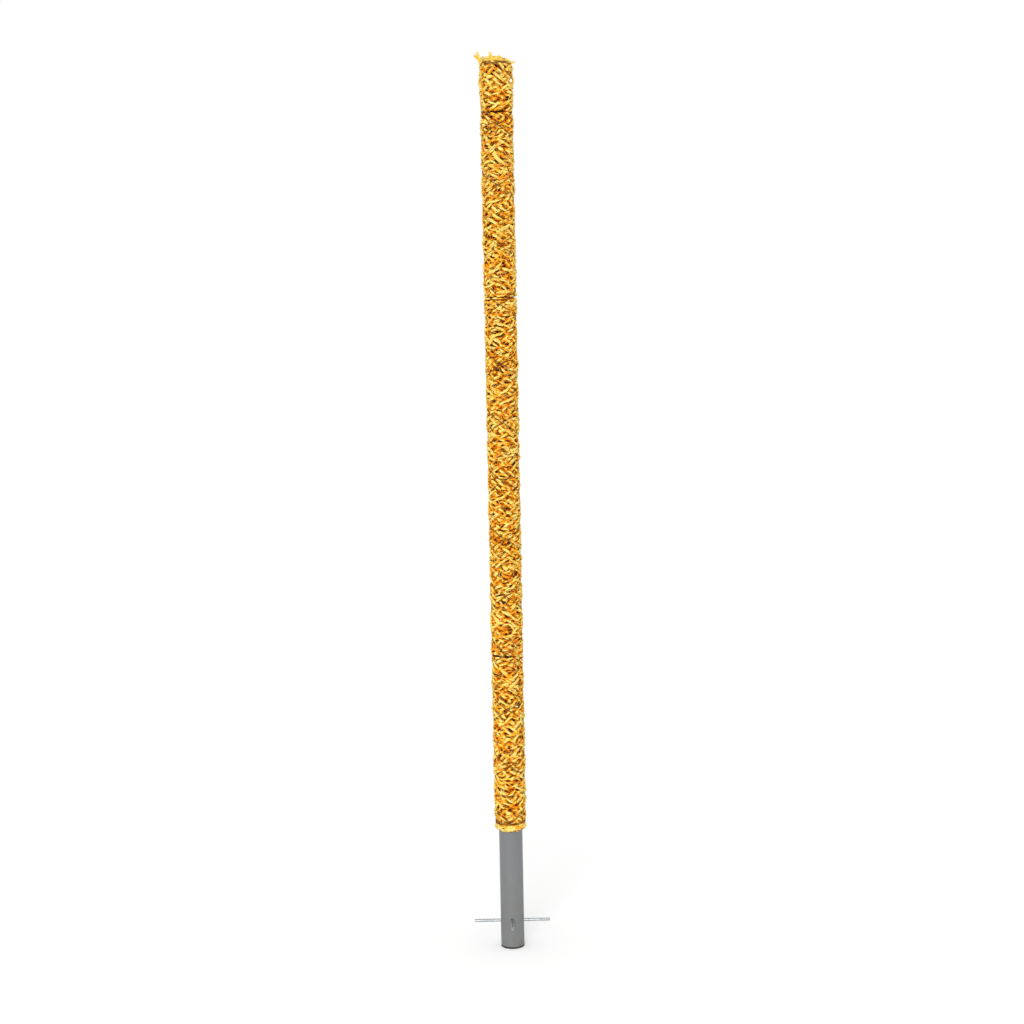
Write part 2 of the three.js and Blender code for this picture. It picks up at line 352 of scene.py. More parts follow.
@dataclass(frozen=True)
class PoleShape:
    """The quilted form of the coir, which the twines draw in along their lines."""

    foot_edge: float
    rim: float
    joints: tuple[float, ...]
    full_radius: float = 0.0275
    swell: float = 0.0035
    rounding: float = 0.0025
    joint_reach: float = 0.005
    joint_depth: float = 0.6
    neck_reach: float = 0.009
    tie_inset: float = 0.014
    tie_turns: float = 2.5
    tie_step: float = 0.0022
    binding_turns: int = 13
    twine_radius: float = 0.0008
    twine_path_radius: float = 0.0251
    crossing_lift: float = 0.0019
    tube_radius: float = 0.020
    core_radius: float = 0.0208
    wad_dome: float = 0.014
    wad_radius: float = 0.0238
    slump: float = 0.0075
    slump_reach: float = 0.016
    slump_start: float = 0.25
    dent_angle: float = math.radians(90)
    dent_below: float = 0.0385
    dent_width: float = math.radians(42)
    dent_height: float = 0.0052
    dent_depth: float = 0.0030

    @classmethod
    def from_frame(cls) -> PoleShape:
        """Reads the heights of the mats from the construction model."""
        mats = sorted(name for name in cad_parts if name.startswith("coir_mat_"))
        lows = [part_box(name)[0].z for name in mats]
        return cls(foot_edge=lows[0], rim=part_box(mats[-1])[1].z, joints=tuple(lows[1:]))

    @property
    def top_tie(self) -> float:
        """Height at which the top tie begins, going up."""
        return self.rim - self.tie_inset

    @property
    def bottom_tie(self) -> float:
        """Height at which the bottom tie begins, going down."""
        return self.foot_edge + self.tie_inset

    @property
    def tie_height(self) -> float:
        """Height of the close turns of a tie."""
        return self.tie_turns * self.tie_step

    @property
    def pitch(self) -> float:
        """Height that a twine climbs in one turn."""
        return (self.top_tie - self.bottom_tie) / self.binding_turns

    @property
    def pressed_radius(self) -> float:
        """Radius of the coir under the twine."""
        return self.full_radius - self.swell

    @property
    def half_round(self) -> float:
        """Half the way round the coir's outside."""
        return math.pi * self.full_radius

    def neck(self, z: Number) -> Number:
        """How far a tie draws the coir in: 1 under its turns, falling to 0 beside them."""
        over_top = larger(larger(self.top_tie - z, z - self.top_tie - self.tie_height), 0.0)
        over_bottom = larger(larger(z - self.bottom_tie, self.bottom_tie - self.tie_height - z), 0.0)
        return larger(1.0 - smaller(over_top, over_bottom) / self.neck_reach, 0.0)

    def joint(self, z: Number) -> Number:
        """How far the coir thins out where two mats meet, falling to 0 beside their edges."""
        share = z * 0.0
        for height in self.joints:
            share = larger(share, 1.0 - amount(z - height) / self.joint_reach)
        return share * self.joint_depth

    def crease(self, angle: Number, z: Number) -> Number:
        """How far the crossing twines draw the coir in: 1 on a twine's line, 0 amid a diamond."""
        down = (self.top_tie - z) / self.pitch
        turn = angle / FULL_TURN
        off_right = sine((down + turn) * math.pi)
        off_left = sine((down - turn) * math.pi)
        bound = is_above(z, self.bottom_tie) * (1.0 - is_above(z, self.top_tie))
        return (1.0 - root(amount(off_right * off_left))) * bound

    def radius(self, angle: Number, z: Number) -> Number:
        """The coir's radius at an angle and a height."""
        from_edge = smaller(smaller(self.rim - z, z - self.foot_edge), self.rounding)
        rounded = self.rounding - larger(from_edge, -self.rounding / 2)
        drawn_in = larger(larger(self.neck(z), self.joint(z)), self.crease(angle, z))
        return self.full_radius - rounded - drawn_in * self.swell - self.dent(angle, z) * self.dent_depth

    def dent(self, angle: Number, z: Number) -> Number:
        """How far the coir has sunk away behind one stretch of twine: 1 in the middle, 0 outside."""
        across = (angle - self.dent_angle) / self.dent_width
        up = (z - self.rim + self.dent_below) / self.dent_height
        return root(larger(1.0 - across * across - up * up, 0.0))

    def slumped(self, side: Number, z: Number) -> Number:
        """The height of coir near the rim, which has slumped on the right.

        Args:
            side: How far to the right it lies, from -1 to 1.
            z: Its height before that.

        Returns:
            Its height.
        """
        over = larger(side - self.slump_start, 0.0) / (1.0 - self.slump_start)
        near_rim = larger(z - self.rim + self.slump_reach, 0.0) / self.slump_reach
        return z - over * near_rim * self.slump

    def dome(self, x: Number, y: Number) -> Number:
        """The height of the wad that closes the rim."""
        share = (x * x + y * y) / self.wad_radius**2
        return self.rim - self.wad_dome + root(larger(1.0 - share, 0.0)) * self.wad_dome

    def place(self, angle: float, radius: float, z: float) -> Vector:
        """The point at an angle from the front and a distance from the axis."""
        return Vector((radius * math.sin(angle), -radius * math.cos(angle), z))


@dataclass(frozen=True)
class CoirLayer:
    """One layer of coir: its locks, each a loosely twisted bundle of fibres, and how they lie."""

    locks: int = 560
    fibres: int = 6  # in each lock
    steps: int = 5  # along each fibre
    sides: int = 3  # round each fibre
    shortest: float = 0.012
    longest: float = 0.021
    lock_width: float = 0.0046
    fibre_radius: float = 0.00060
    bearing: float = math.radians(14)  # of a lock, up or down from the level
    bearing_spread: float = math.radians(20)
    twist: float = 1.2  # of a lock's fibres from its middle to its end, in radians
    roundness: float = 0.42  # a lock's thickness over its width
    deepest: float = 0.74  # where locks lie, as a share of the coir's thickness
    highest: float = 1.04
    dip: float = 0.0022  # how far a lock's ends go in
    fray: float = 0.0010  # how far an end of some locks stands off
    bow: float = 0.0036  # how far a lock bends sideways
    wander: float = 0.008  # how far neighbours drift together
    frizz: float = 0.0010  # how far each fibre curls by itself
    darkest: float = 0.10
    lightest: float = 0.74
    # Painted shade and light: darkens fibres that lie deeper in the coir and makes those that lie higher
    # paler.
    depth_tone: float = 2.4  # how much paler fibres are for lying higher
    # Painted shade: darkens the fibres at a lock's edges.
    edge_tone: float = 0.3  # how much darker fibres are at a lock's edges
    ragged: float = 0.0012  # how uneven the layer's own edges are
    lift: float = 0.0  # of the whole layer
    per_turn: float = 13.5  # locks in one course round the pole
    jitter: float = 0.2  # how far locks stray from their even places, in steps between them
    weave: float = 0.0  # how far a lock rises and falls along its length


class Ground(Enum):
    """What a layer of coir is laid on."""

    WALL = "wall"
    DOME = "dome"


class Draw(IntEnum):
    """What is drawn at random, by the number that the draw adds to the seed."""

    LENGTH = 1
    SIDE = 2
    BEARING = 3
    BOW = 4
    PHASE = 5
    OFF_AXIS = 6
    WIDTH = 7
    DEPTH = 10
    STAND_OFF = 11
    RAGGED = 12
    ROUND = 13
    COURSE = 14
    LOCK_TONE = 20
    FIBRE_TONE = 21
    FIBRE_WIDTH = 22
    STRAND_TONE = LENGTH  # the only draw in the tree of the strands


@dataclass
class CoirWork:
    """Makes layers of coir fibre on the pole's wall or on the wad in its rim."""

    shape: PoleShape
    material: Material
    seed_turn: float = 0.137  # how far each seed shifts the locks, in turns
    end_share: float = 0.2  # of its own length that a lock keeps off the layer's ends
    lock_range: Span = (0.65, 1.35)  # of lock widths, over the layer's
    tip_pinch: float = 0.4  # how much narrower a lock is at its ends
    bow_level: float = 0.33  # taken off a lock's bend, so that it stays about its place
    curl_steps: Point = (3.71, 2.3, 1.3)  # of noise, by fibre, length and seed
    weave_steps: Point = (5.3, 3.4, 0.9)  # of noise, by lock, length and seed
    drift_scale: float = 56.0  # of noise over the layer, per metre
    drift_seed: float = 0.7  # how far each seed shifts that noise
    drift_rise: float = 0.2  # how far the drift goes in and out, over how far it goes sideways
    stand_odds: Span = (-1.5, 1.0)  # a lock stands off where this draw is over 0
    dip_power: float = 3.0  # how sharply a lock's ends go in
    tone_power: float = 0.55  # under 1, so that pale locks are more common
    fibre_tone: float = 0.12  # how far a lock's fibres differ in tone
    fibre_range: Span = (0.65, 1.25)  # of fibre radii, over the layer's
    point_power: float = 4.0  # how sharply a fibre slims towards its ends
    point_slimming: float = 0.75  # how much slimmer it is there
    near_axis: float = 0.0001  # the least distance from the axis that is divided by

    def __post_init__(self) -> None:
        """Builds one node tree for each ground."""
        self.trees = {ground: self.tree(ground) for ground in Ground}

    def tree(self, ground: Ground) -> NodeTree:
        """Builds the node tree that lays locks of fibre on a ground.

        Args:
            ground: Whether the locks lie on the wall or on the domed wad.

        Returns:
            The geometry node tree.
        """
        shape = self.shape
        g = GeometryGraph(f"coir on the {ground.value}", CoirLayer, "low", "high")
        curves = self.bundles(g)
        x, z, share, height, edge = self.lie(g, ground)
        if ground is Ground.WALL:
            angle = x / shape.full_radius
            radius = shape.core_radius + (shape.radius(angle, z) - shape.core_radius) * share + height
            side = sine(angle)
            place = g.vector(radius * side, -(radius * cosine(angle)), shape.slumped(side, z))
        else:
            reach = root(x * x + z * z)
            keep = smaller(shape.wad_radius / larger(reach, self.near_axis), 1.0)
            depth = (1.0 - share) * shape.wad_dome / 2.0
            across, back = x * keep, z * keep
            top = shape.slumped(across / shape.wad_radius, shape.dome(across, back))
            place = g.vector(across, back, top - depth + height)
        curves = g.field("GeometryNodeSetPosition", 0, {"Geometry": curves, "Position": place})
        along = g.field("GeometryNodeSplineParameter", "Factor")
        curves = g.store(curves, "along", along, "POINT")
        lock, fibre = g.stored("lock", "INT"), g.stored("fibre", "INT")
        paleness = g.random(0.0, 1.0, lock, Draw.LOCK_TONE) ** self.tone_power
        tone = g.darkest + (g.lightest - g.darkest) * paleness
        tone = tone + g.spread(self.fibre_tone, fibre, Draw.FIBRE_TONE)
        # Painted shade and light: fibres that lie deeper, such as at a lock's dipped ends, are darkened and
        # higher ones made paler, and fibres at a lock's edges are darkened.
        level = share + height / (shape.full_radius - shape.core_radius)
        tone = tone + (level - (g.deepest + g.highest) / 2.0) * g.depth_tone - edge * edge * g.edge_tone
        curves = g.store(curves, "tone", tone, "POINT")
        from_middle = amount(g.stored("along") * 2.0 - 1.0)
        slimming = 1.0 - from_middle**self.point_power * self.point_slimming
        radius = g.fibre_radius * g.random(*self.fibre_range, fibre, Draw.FIBRE_WIDTH) * slimming
        return g.end(g.tubes(curves, g.sides, radius))

    def bundles(self, g: GeometryGraph) -> Field:
        """Makes the fibres of all locks as straight curves that hold the numbers of lock and fibre."""
        index = g.field("GeometryNodeInputIndex", 0)
        points = g.field("GeometryNodePoints", 0, {"Count": g.locks})
        points = g.store(points, "lock", index, "POINT", "INT")
        line = g.field("GeometryNodeCurvePrimitiveLine", 0, {"End": (1.0, 0.0, 0.0)})
        line = g.field("GeometryNodeResampleCurve", 0, {"Curve": line, "Count": g.steps + 1.0})
        copies = g.field("GeometryNodeInstanceOnPoints", 0, {"Points": points, "Instance": line})
        curves = g.field("GeometryNodeRealizeInstances", 0, {"Geometry": copies})
        inputs = {"Geometry": curves, "Amount": g.fibres}
        curves = g.field("GeometryNodeDuplicateElements", 0, inputs, domain="SPLINE")
        return g.store(curves, "fibre", index, "CURVE", "INT")

    def ripple(self, g: GeometryGraph, steps: Point, owner: Field, along: Field, output: str) -> Field:
        """Noise along the length of each owner, which differs by owner and by seed."""
        by_owner, by_length, by_seed = steps
        spot = g.vector(owner * by_owner, along * by_length, g.seed * by_seed)
        return g.noise(spot, 1.0, 1.0, output)

    def middles(
        self, g: GeometryGraph, ground: Ground, lock: Field, width: Field, climb: Field
    ) -> tuple[Field, Field]:
        """Finds where the middle of each lock lies, in even courses or evenly over the dome.

        Args:
            g: The tree in the making.
            ground: What the locks lie on.
            lock: The lock's number.
            width: How far the lock runs level.
            climb: How far it climbs.

        Returns:
            The way round the pole and the height up it, or on the dome the way across and the way back.
        """
        shift = g.seed * self.seed_turn
        if ground is Ground.DOME:
            first, second = (g.maths("FRACT", lock * step + shift) for step in EVEN_STEPS)
            away = root(second) * g.high
            return away * cosine(first * FULL_TURN), away * sine(first * FULL_TURN)
        turn = g.maths("FRACT", (lock + g.spread(g.jitter, lock, Draw.ROUND)) / g.per_turn + shift)
        course = lock / g.per_turn + g.spread(g.jitter, lock, Draw.COURSE)
        courses = g.locks / g.per_turn
        up = (course * (1.0 + 1.0 / courses) - 0.5) / courses
        margin = climb * self.end_share
        round_pole = (turn * 2.0 - 1.0) * (self.shape.half_round - width * self.end_share)
        return round_pole, g.low + margin + up * (g.high - g.low - margin * 2.0)

    def lie(self, g: GeometryGraph, ground: Ground) -> tuple[Field, ...]:
        """Lays the fibres out flat.

        Args:
            g: The tree in the making.
            ground: Whether the locks lie on the wall or on the domed wad.

        Returns:
            The way round the pole, the height up it, the lock's share of the coir's thickness, the
            fibre's height over that, and how near it is to the lock's edge. On the dome, the first two
            are the way across and the way back.
        """
        lock, fibre = g.stored("lock", "INT"), g.stored("fibre", "INT")
        along = g.field("GeometryNodeSplineParameter", "Factor")
        q = along * 2.0 - 1.0
        length = g.random(g.shortest, g.longest, lock, Draw.LENGTH)
        side = 1.0 - g.maths("ROUND", g.random(0.0, 1.0, lock, Draw.SIDE)) * 2.0
        bearing = side * (g.bearing + g.spread(g.bearing_spread, lock, Draw.BEARING))
        run, rise = cosine(bearing), sine(bearing)
        phase = g.random(0.0, FULL_TURN, fibre, Draw.PHASE) + q * side * g.twist
        thick = g.lock_width / 2.0 * g.random(*self.lock_range, lock, Draw.WIDTH)
        off_axis = root(g.random(0.0, 1.0, fibre, Draw.OFF_AXIS)) * thick * (1.0 - q * q * self.tip_pinch)
        curl_x, curl_y, _ = g.parts(self.ripple(g, self.curl_steps, fibre, along, "Color"))
        bend = g.spread(g.bow, lock, Draw.BOW) * (q * q - self.bow_level)
        across = bend + off_axis * cosine(phase) + (curl_x - 0.5) * g.frizz
        t = q * length / 2.0
        share = g.random(g.deepest, g.highest, lock, Draw.DEPTH)
        x, z = self.middles(g, ground, lock, amount(run) * length, amount(rise) * length)
        x = x + t * run - across * rise
        z = z + t * rise + across * run
        drift = g.noise(g.vector(x, z, g.seed * self.drift_seed), self.drift_scale, 1.0, "Color")
        drift_x, drift_z, drift_h = g.parts(drift)
        stands_off = larger(g.random(*self.stand_odds, lock, Draw.STAND_OFF), 0.0)
        height = g.lift + off_axis * sine(phase) * g.roundness - amount(q) ** self.dip_power * g.dip
        height = height + stands_off * larger(q, 0.0) ** 2.0 * g.fray
        height = height + (curl_y - 0.5) * g.frizz + (drift_h - 0.5) * g.wander * self.drift_rise
        rises = self.ripple(g, self.weave_steps, lock, along, "Fac")
        height = height + (rises - 0.5) * (1.0 - q * q) * g.weave
        x = x + (drift_x - 0.5) * g.wander
        z = z + (drift_z - 0.5) * g.wander
        if ground is Ground.WALL:
            half = self.shape.half_round
            gap = g.spread(g.ragged, fibre, Draw.RAGGED)
            x = smaller(larger(x, gap - half), half - gap)
            z = smaller(larger(z, g.low + gap), g.high - gap)
        edge = amount(off_axis * cosine(phase)) / thick
        return x, z, share, height, edge

    def layer(
        self, name: str, layer: CoirLayer, low: float, high: float, seed: int, ground: Ground = Ground.WALL
    ) -> Object:
        """Makes one layer.

        Args:
            name: The piece's name.
            layer: The layer's locks.
            low: The lowest height of its fibres.
            high: The highest one, or on the dome how far from the axis locks may start.
            seed: The seed of its random draws.
            ground: What it lies on.

        Returns:
            The finished piece.
        """
        inputs = asdict(layer) | {"low": low, "high": high, "seed": seed, "material": self.material}
        return grown(name, self.trees[ground], inputs, bpy.data.meshes.new(name))


@dataclass(frozen=True)
class StrandSizes:
    """A strand along a path: its plies, how they are laid and how thick they are."""

    plies: int = 3
    sides: int = 4
    spacing: float = 0.0011
    lay: float = 0.0062
    lay_radius: float = 0.00042
    ply_radius: float = 0.00045
    taper: float = 0.0
    tone: float = 0.5
    tone_spread: float = 0.12


class StrandWork:
    """Makes twisted strands and single fibres along given paths."""

    def __init__(self) -> None:
        """Builds the node tree that lays plies along paths."""
        g = GeometryGraph("strand along a path", StrandSizes)
        curves = g.field("GeometryNodeMeshToCurve", 0, {"Mesh": g.Geometry})
        inputs = {"Curve": curves, "Length": g.spacing}
        curves = g.field("GeometryNodeResampleCurve", 0, inputs, mode="LENGTH")
        inputs = {"Geometry": curves, "Amount": g.plies}
        copies = g.node("GeometryNodeDuplicateElements", inputs, domain="SPLINE")
        curves = g.store(copies.outputs[0], "ply", copies.outputs[1], "CURVE", "INT")
        curves = g.store(curves, "fibre", g.field("GeometryNodeInputIndex", 0), "CURVE", "INT")
        run = g.field("GeometryNodeSplineParameter", "Length")
        turn = (g.stored("ply", "INT") / g.plies + run / g.lay) * FULL_TURN
        normal = g.field("GeometryNodeInputNormal", 0)
        tangent = g.field("GeometryNodeInputTangent", 0)
        inputs = {"Vector": normal, "Axis": tangent, "Angle": turn}
        outward = g.field("ShaderNodeVectorRotate", 0, inputs, rotation_type="AXIS_ANGLE")
        inputs = {0: outward, "Scale": g.lay_radius}
        offset = g.field("ShaderNodeVectorMath", 0, inputs, operation="SCALE")
        curves = g.field("GeometryNodeSetPosition", 0, {"Geometry": curves, "Offset": offset})
        along = g.field("GeometryNodeSplineParameter", "Factor")
        curves = g.store(curves, "along", along, "POINT")
        tone = g.tone + g.spread(g.tone_spread, g.stored("fibre", "INT"), Draw.STRAND_TONE)
        curves = g.store(curves, "tone", tone, "POINT")
        radius = g.ply_radius * (1.0 - g.stored("along") ** 2.0 * g.taper)
        self.tree = g.end(g.tubes(curves, g.sides, radius))

    def strands(
        self,
        name: str,
        paths: Iterable[Sequence[Vector]],
        sizes: StrandSizes,
        material: Material,
        seed: int = 1,
    ) -> Object:
        """Makes one piece of strands.

        Args:
            name: The piece's name.
            paths: The points of each strand's path.
            sizes: How the strands are made up.
            material: What they wear.
            seed: The seed of their random draws.

        Returns:
            The finished piece.
        """
        points: list[Vector] = []
        edges: list[tuple[int, int]] = []
        for path in paths:
            first = len(points)
            points.extend(path)
            edges.extend((i, i + 1) for i in range(first, len(points) - 1))
        base = bpy.data.meshes.new(name)
        base.from_pydata(points, edges, [])
        return grown(name, self.tree, asdict(sizes) | {"seed": seed, "material": material}, base)


class ShaderGraph(Graph):
    """A material's node tree, with one Principled surface."""

    def __init__(self, name: str) -> None:
        """Makes the material with an empty tree."""
        self.material = bpy.data.materials.new(name)
        super().__init__(emptied(self.material))

    def object_place(self) -> Field:
        """The piece's own coordinates, in metres."""
        return self.field("ShaderNodeTexCoord", "Object")

    def fibre_place(self) -> tuple[Field, Field]:
        """The tone of a fibre and the place along it, from its map."""
        place = self.field("ShaderNodeUVMap", 0, uv_map=FIBRE_MAP)
        tone, along, _ = self.parts(place)
        return tone, along

    def stretched(self, place: Field, scale: Point) -> Field:
        """A place scaled along each axis."""
        return self.field("ShaderNodeMapping", 0, {"Vector": place, "Scale": scale})

    def ramp(self, value: Field, stops: Sequence[tuple[float, Colour]]) -> Field:
        """Colours along a ramp.

        Args:
            value: The place on the ramp, from 0 to 1.
            stops: Places and their colours, in order.

        Returns:
            The colour.
        """
        made = self.node("ShaderNodeValToRGB", {"Fac": value})
        elements = made.color_ramp.elements
        while len(elements) < len(stops):
            elements.new(1.0)
        for element, (place, colour) in zip(elements, stops):
            element.position = place
            element.color = (*colour, 1.0)
        return Field(self, made.outputs["Color"])

    def mixed(self, share: Number, first: Any, second: Any, blend: str = "MIX") -> Field:
        """Mixes two colours by a share."""
        inputs = {"Factor": share, 6: first, 7: second}
        return self.field("ShaderNodeMix", 2, inputs, data_type="RGBA", blend_type=blend)

    def between(self, share: Field, low: float, high: float) -> Field:
        """A number between two others, by a share."""
        return share * (high - low) + low

    def surface(self, inputs: Mapping[str, Any], relief: Field, depth: float) -> Material:
        """Ends the tree in a Principled surface with relief.

        Args:
            inputs: Values for the Principled node.
            relief: The relief's height, from 0 to 1.
            depth: How deep the relief is, in metres.

        Returns:
            The material.
        """
        bump = self.field("ShaderNodeBump", 0, {"Height": relief, "Distance": depth, "Strength": 1.0})
        shader = self.field("ShaderNodeBsdfPrincipled", 0, {**inputs, "Normal": bump})
        self.node("ShaderNodeOutputMaterial", {"Surface": shader})
        return self.material


@dataclass(frozen=True)
class FibreFinish:
    """The finish of single coir fibres or twine plies, from dark to pale by their tone."""

    name: str
    stops: tuple[tuple[float, Colour], ...]
    flecks: float = 90.0  # across the fibre map
    streak: float = 16.0  # flecks along a fibre
    mottle: float = 0.18  # how far flecks change the tone
    roughness: Span = (0.62, 0.92)
    gloss: float = 0.12
    relief: float = 0.00012
    relief_scale: float = 3.0  # over that of the flecks

    def material(self) -> Material:
        """Builds the material, which reads nothing but the fibre map."""
        g = ShaderGraph(self.name)
        tone, along = g.fibre_place()
        spot = g.vector(tone * self.flecks, along * self.streak, 0.0)
        fleck = g.noise(spot, 1.0, detail=3.0)
        colour = g.ramp(tone + g.between(fleck, -self.mottle / 2, self.mottle / 2), self.stops)
        rough = g.between(fleck, *self.roughness)
        inputs = {"Base Color": colour, "Roughness": rough, "Specular IOR Level": self.gloss}
        return g.surface(inputs, g.noise(spot, self.relief_scale), self.relief)


@dataclass(frozen=True)
class BackingFinish:
    """The felted inside of a coir mat, painted near-black as the shade between the locks."""

    # Painted shade: the near-black that shows in the gaps between the locks.
    dark: Colour = (0.014, 0.0045, 0.001)
    brown: Colour = (0.070, 0.023, 0.004)
    tones: Span = (0.38, 0.66)  # of the dark and of the brown
    felt_scale: Point = (900.0, 900.0, 500.0)
    felt_share: float = 0.6  # in the tone, of which the clumps have the rest
    clump_scale: float = 160.0
    roughness: Span = (0.85, 1.0)
    gloss: float = 0.15
    relief: float = 0.0005

    def material(self) -> Material:
        """Builds the material."""
        g = ShaderGraph("coir backing")
        place = g.object_place()
        felt = g.noise(g.stretched(place, self.felt_scale), 1.0, detail=3.0)
        clump = g.noise(place, self.clump_scale)
        tone = felt * self.felt_share + clump * (1.0 - self.felt_share)
        colour = g.ramp(tone, tuple(zip(self.tones, (self.dark, self.brown))))
        rough = g.between(felt, *self.roughness)
        inputs = {"Base Color": colour, "Roughness": rough, "Specular IOR Level": self.gloss}
        return g.surface(inputs, felt, self.relief)


@dataclass(frozen=True)
class TubeFinish:
    """Extruded grey plastic with fine draw lines, scuffs and a dulled foot."""

    clean: Colour = (0.150, 0.158, 0.164)
    scuffed: Colour = (0.235, 0.240, 0.240)
    dusty: Colour = (0.150, 0.125, 0.095)
    line_scale: Point = (700.0, 700.0, 6.0)
    line_share: float = 0.25  # how far draw lines go towards the scuffed colour
    cloud_scale: float = 45.0  # of the patches that hold scuffs and dust
    scratch_scale: Point = (900.0, 900.0, 38.0)
    scuff_levels: Span = (0.57, 0.42)  # over which scratches and patches make scuffs
    scuff_gain: float = 40.0
    most_scuffed: float = 0.8
    dust_height: float = 0.16
    dust_level: float = 0.35  # over which patches hold dust
    dust_gain: float = 1.6
    most_dusty: float = 0.7
    roughness: Span = (0.34, 0.5)
    roughened: Span = (0.2, 0.35)  # by scuffs and by dust
    roughest: float = 0.95
    relief: float = 0.00008
    relief_shares: Span = (0.6, -0.4)  # of the draw lines and of the scuffs

    def material(self) -> Material:
        """Builds the material."""
        g = ShaderGraph("tube plastic")
        place = g.object_place()
        _, _, height = g.parts(place)
        lines = g.noise(g.stretched(place, self.line_scale), 1.0)
        scratches = g.noise(g.stretched(place, self.scratch_scale), 1.0, detail=4.0)
        cloud = g.noise(place, self.cloud_scale, detail=4.0)
        by_scratch, by_cloud = self.scuff_levels
        scuffs = larger(scratches - by_scratch, 0.0) * larger(cloud - by_cloud, 0.0) * self.scuff_gain
        low_down = larger(1.0 - height / self.dust_height, 0.0)
        dust = low_down * larger(cloud - self.dust_level, 0.0) * self.dust_gain
        colour = g.mixed(lines * self.line_share, (*self.clean, 1.0), (*self.scuffed, 1.0))
        colour = g.mixed(smaller(scuffs, self.most_scuffed), colour, (*self.scuffed, 1.0))
        colour = g.mixed(smaller(dust, self.most_dusty), colour, (*self.dusty, 1.0))
        by_scuffs, by_dust = self.roughened
        rough = g.between(lines, *self.roughness) + scuffs * by_scuffs + dust * by_dust
        of_lines, of_scuffs = self.relief_shares
        inputs = {"Base Color": colour, "Roughness": smaller(rough, self.roughest)}
        return g.surface(inputs, lines * of_lines + scuffs * of_scuffs, self.relief)


@dataclass(frozen=True)
class PlugFinish:
    """Moulded black plastic with a fine spark texture."""

    black: Colour = (0.014, 0.0145, 0.016)
    worn: Colour = (0.055, 0.054, 0.052)
    tones: Span = (0.45, 0.72)  # of the black and of the worn
    wear_scale: float = 130.0
    grain_scale: float = 2600.0
    roughness: Span = (0.45, 0.7)
    relief: float = 0.00006

    def material(self) -> Material:
        """Builds the material."""
        g = ShaderGraph("plug plastic")
        place = g.object_place()
        grain = g.noise(place, self.grain_scale)
        wear = g.noise(place, self.wear_scale, detail=4.0)
        colour = g.ramp(wear, tuple(zip(self.tones, (self.black, self.worn))))
        inputs = {"Base Color": colour, "Roughness": g.between(grain, *self.roughness)}
        return g.surface(inputs, grain, self.relief)


@dataclass(frozen=True)
class SteelFinish:
    """Galvanised steel with its spangle and a faint cloudiness."""

    dull: Colour = (0.26, 0.275, 0.285)
    bright: Colour = (0.46, 0.475, 0.485)
    tones: Span = (0.2, 0.8)  # of the dull and of the bright
    spangle_scale: float = 420.0
    spangle_share: float = 0.6  # in the tone, of which the clouds have the rest
    cloud_scale: float = 260.0
    roughness: Span = (0.28, 0.5)
    relief: float = 0.00006

    def material(self) -> Material:
        """Builds the material."""
        g = ShaderGraph("galvanised steel")
        place = g.object_place()
        spangle = g.field("ShaderNodeTexVoronoi", "Color", {"Vector": place, "Scale": self.spangle_scale})
        flake, _, _ = g.parts(spangle)
        cloud = g.noise(place, self.cloud_scale, detail=3.0)
        tone = flake * self.spangle_share + cloud * (1.0 - self.spangle_share)
        colour = g.ramp(tone, tuple(zip(self.tones, (self.dull, self.bright))))
        inputs = {"Base Color": colour, "Roughness": g.between(flake, *self.roughness), "Metallic": 1.0}
        return g.surface(inputs, cloud, self.relief)


COIR = FibreFinish(
    name="coir fibre",
    stops=(
        (0.04, (0.040, 0.005, 0.001)),
        (0.18, (0.320, 0.048, 0.002)),
        (0.34, (0.900, 0.200, 0.004)),
        (0.52, (1.000, 0.340, 0.008)),
        (0.70, (1.000, 0.480, 0.018)),
        (0.86, (1.000, 0.640, 0.052)),
        (0.97, (1.000, 0.860, 0.280)),
    ),
)
TWINE = FibreFinish(
    name="coir twine",
    stops=(
        (0.0, (0.050, 0.013, 0.002)),
        (0.5, (0.230, 0.075, 0.010)),
        (1.0, (0.520, 0.240, 0.040)),
    ),
    streak=400.0,
)


class Axis(Enum):
    """The axis that a turned piece runs along, as the turn that brings it there from +Z."""

    X = (math.pi / 2, "Y")
    Y = (-math.pi / 2, "X")
    Z = (0.0, "Z")


def eased(radius: float, low: float, high: float, ease: float) -> list[Span]:
    """The profile of a round outside between two heights, with eased edges."""
    return [(radius - ease, low), (radius, low + ease), (radius, high - ease), (radius - ease, high)]


def lathe(
    name: str, profile: Sequence[Span], sides: int, axis: Axis = Axis.Z, lift: float = 0.0
) -> Object:
    """Turns a profile into a closed body of revolution.

    Args:
        name: The piece's name.
        profile: Points of radius and height, anticlockwise, from the axis back to it or closed on itself.
        sides: How many columns the body has.
        axis: The axis that the profile's height runs along.
        lift: How far up the body is put after that.

    Returns:
        The piece.
    """
    body = bmesh.new()
    closed = profile[0][0] > 0
    rings: list[list[bmesh.types.BMVert]] = []
    for radius, height in profile:
        count = sides if radius > 0 else 1
        angles = [FULL_TURN * i / sides for i in range(count)]
        spots = [(radius * math.cos(a), radius * math.sin(a), height) for a in angles]
        rings.append([body.verts.new(spot) for spot in spots])
    followers = rings[1:] + rings[:1] if closed else rings[1:]
    for lower, upper in zip(rings, followers):
        for i in range(sides):
            ends = (i, (i + 1) % sides)
            corners = [lower[k % len(lower)] for k in ends] + [upper[k % len(upper)] for k in ends[::-1]]
            body.faces.new(list(dict.fromkeys(corners)))
    bmesh.ops.recalc_face_normals(body, faces=body.faces)
    mesh = bpy.data.meshes.new(name)
    body.to_mesh(mesh)
    body.free()
    turn, about = axis.value
    mesh.transform(Matrix.Translation((0.0, 0.0, lift)) @ Matrix.Rotation(turn, 4, about))
    return linked(name, mesh)


def smoothed(piece: Object, material: Material) -> Object:
    """Shades a turned piece smooth except at its edges, and dresses it."""
    piece.data.polygons.foreach_set("use_smooth", [True] * len(piece.data.polygons))
    piece.data.set_sharp_from_angle(angle=SHARP_OVER)
    piece.data.materials.clear()
    piece.data.materials.append(material)
    return piece


